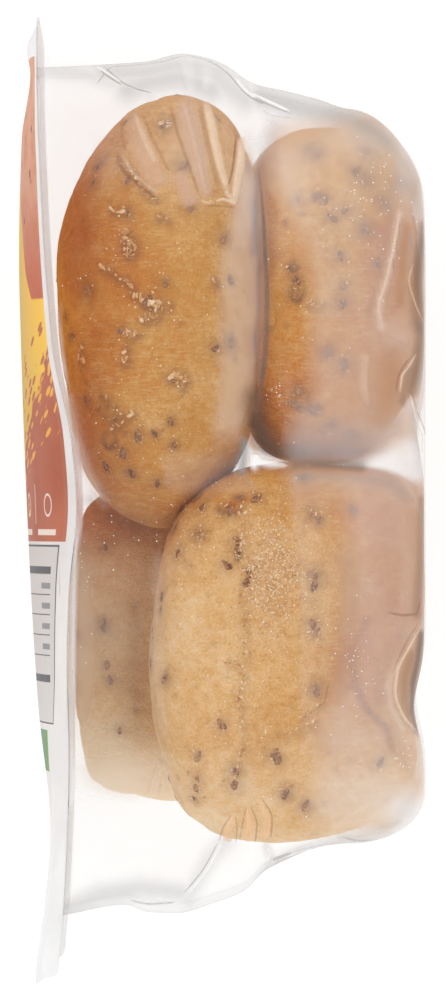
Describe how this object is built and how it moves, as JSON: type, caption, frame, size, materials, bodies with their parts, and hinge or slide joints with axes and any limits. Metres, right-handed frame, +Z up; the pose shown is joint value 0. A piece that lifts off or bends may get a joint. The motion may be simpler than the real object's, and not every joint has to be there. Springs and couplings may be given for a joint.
{
  "type": "pack of ciabatta rolls",
  "caption": "Sealed clear film pack of seeded ciabatta rolls with a printed lid film, lying on its long side with the clear side wall up.",
  "frame": {"origin": "middle of the pack's footprint, on the plane that it lies on", "axes": "+Y along the pack, the end with the narrower seal; -X out of the printed lid; +X out of the back of the clear pocket; +Z up, out of the clear side wall"},
  "size_m": [0.1038, 0.245, 0.112],
  "materials": {
    "printed_film": "glossy printed lidding film in yellow, terracotta and white fields, bare grey-white at its sealed edges",
    "clear_film": "clear formed film, glossy, slightly milky where it stands off the bread",
    "crust": "golden to orange-brown baked crust, matt, finely pitted, with torn pale flakes",
    "seeds": "dark brown and grey-purple linseed and grains baked into the crust"
  },
  "bodies": {
    "root": {"lid_film": "printed_film", "pocket": "clear_film"}
  },
  "joints": []
}
